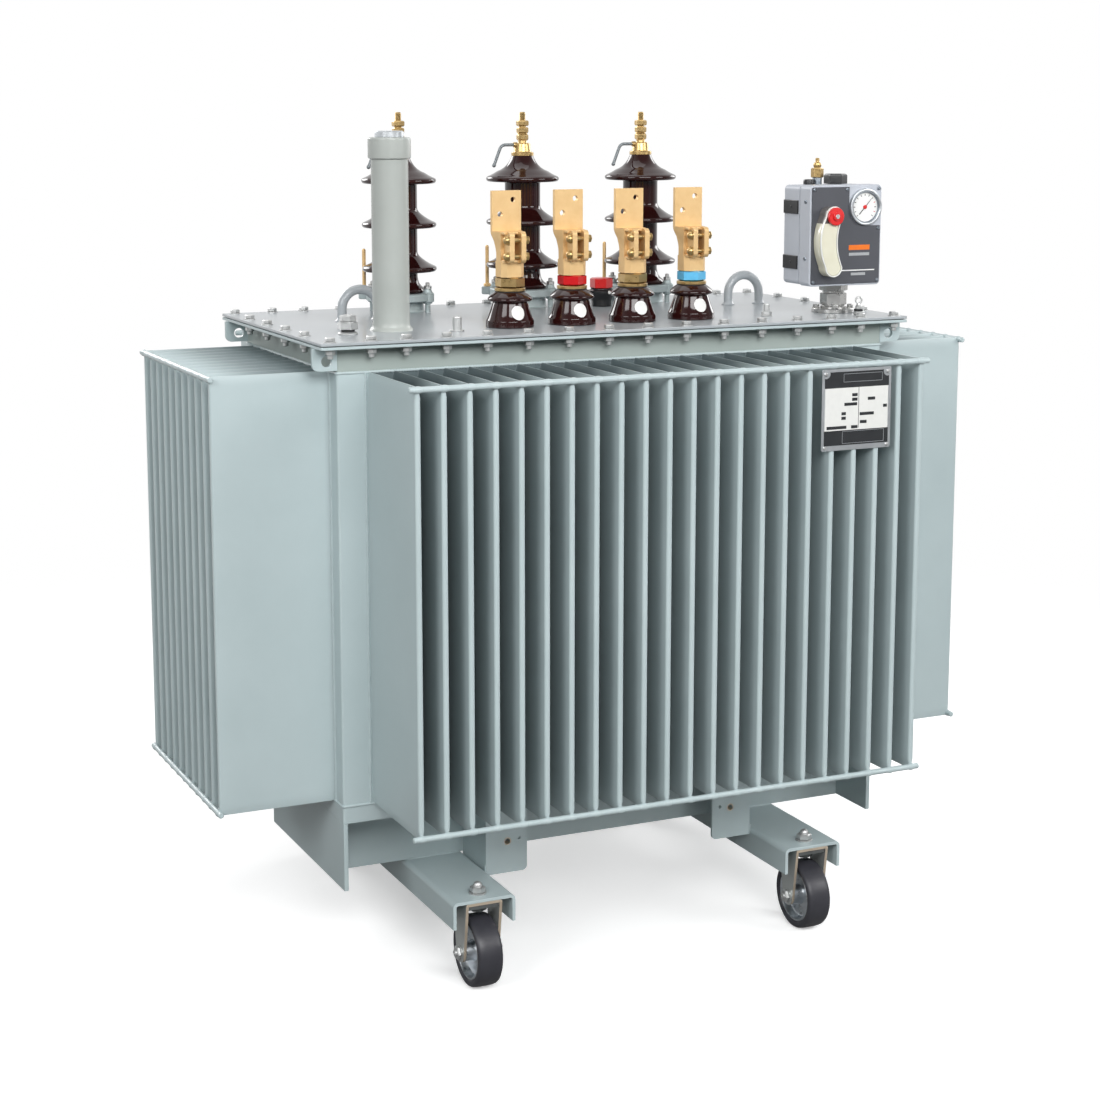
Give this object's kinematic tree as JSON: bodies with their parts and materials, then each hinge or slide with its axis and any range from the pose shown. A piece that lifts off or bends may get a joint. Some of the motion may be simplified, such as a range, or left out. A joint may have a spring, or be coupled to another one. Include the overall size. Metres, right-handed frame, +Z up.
{
  "type": "power transformer",
  "caption": "Oil-filled distribution transformer: finned tank on wheels, with high- and low-voltage bushings, filler tube and protection relay on a flat cover.",
  "frame": {"origin": "on the floor, under the middle of the tank", "axes": "+X along the rows of bushings to the relay's end, +Y from the low-voltage side to the high-voltage side, +Z up"},
  "size_m": [1.482, 0.961, 1.485],
  "materials": {
    "tank_paint": "grey enamel, satin",
    "cover_paint": "grey enamel, glossy",
    "gasket": "cork and rubber sheet",
    "zinc": "yellowish zinc plate",
    "bolt_steel": "bright zinc plate",
    "tyre": "solid dark grey tyre",
    "rim": "cast",
    "core_steel": "stacked laminations",
    "winding": "paper-wrapped aluminium",
    "glaze": "dark brown glaze",
    "brass": "cast and turned",
    "horn_steel": "grey zinc plate",
    "red_nut": "red lacquer",
    "blue_nut": "light blue lacquer",
    "relay_grey": "light grey, satin",
    "relay_black": "dark grey plate",
    "dial_white": "white dial",
    "sight_glass": "cream translucent moulding",
    "red_plastic": "red moulding",
    "black_plastic": "black moulding"
  },
  "bodies": {
    "transformer": {"front_wall": "tank_paint", "rear_wall": "tank_paint", "left_wall": "tank_paint", "right_wall": "tank_paint", "stay_rods": "tank_paint", "tank_floor": "tank_paint", "tank_flange": "tank_paint", "pulling_lugs": "tank_paint", "side_plates": "tank_paint", "cross_plates": "tank_paint", "left_channel": "tank_paint", "right_channel": "tank_paint", "brackets": "tank_paint", "hv_flanges": "tank_paint", "filler_tube": "tank_paint", "filler_cap": "tank_paint", "tank_skirt": "tank_paint", "tank_collar": "tank_paint", "cover_plate": "cover_paint", "lifting_eyes": "cover_paint", "cover_gasket": "gasket", "forks": "zinc", "axle_bolts": "bolt_steel", "thermometer_pocket": "bolt_steel", "relay_neck": "bolt_steel", "core": "core_steel", "windings": "winding", "hv_porcelains": "glaze", "lv_insulators": "glaze", "relay_valve": "brass", "relay_cap": "black_plastic", "cover_studs": "bolt_steel", "hv_terminals": "brass", "lower_horns": "brass", "lv_washers": "brass", "lv_nuts_brass": "brass", "lv_connectors": "brass", "upper_horns": "horn_steel", "lv_nut_red": "red_nut", "lv_nut_blue": "blue_nut", "relay_case": "relay_grey", "relay_lid": "relay_grey", "relay_plate": "relay_black", "relay_dial": "dial_white", "sight_chamber": "sight_glass", "sight_cap": "red_plastic", "tap_drive": "black_plastic", "tap_cap": "red_plastic"},
    "wheel_front_left": {"tyre_front_left": "tyre", "rim_front_left": "rim"},
    "wheel_front_right": {"tyre_front_right": "tyre", "rim_front_right": "rim"},
    "wheel_rear_left": {"tyre_rear_left": "tyre", "rim_rear_left": "rim"},
    "wheel_rear_right": {"tyre_rear_right": "tyre", "rim_rear_right": "rim"}
  },
  "joints": [
    {"name": "roll_front_left", "type": "hinge", "parent": "transformer", "child": "wheel_front_left", "pos_m": [-0.325, -0.355, 0.0625], "axis": [1, 0, 0], "continuous": true},
    {"name": "roll_front_right", "type": "hinge", "parent": "transformer", "child": "wheel_front_right", "pos_m": [0.325, -0.355, 0.0625], "axis": [1, 0, 0], "continuous": true},
    {"name": "roll_rear_left", "type": "hinge", "parent": "transformer", "child": "wheel_rear_left", "pos_m": [-0.325, 0.355, 0.0625], "axis": [1, 0, 0], "continuous": true},
    {"name": "roll_rear_right", "type": "hinge", "parent": "transformer", "child": "wheel_rear_right", "pos_m": [0.325, 0.355, 0.0625], "axis": [1, 0, 0], "continuous": true}
  ]
}
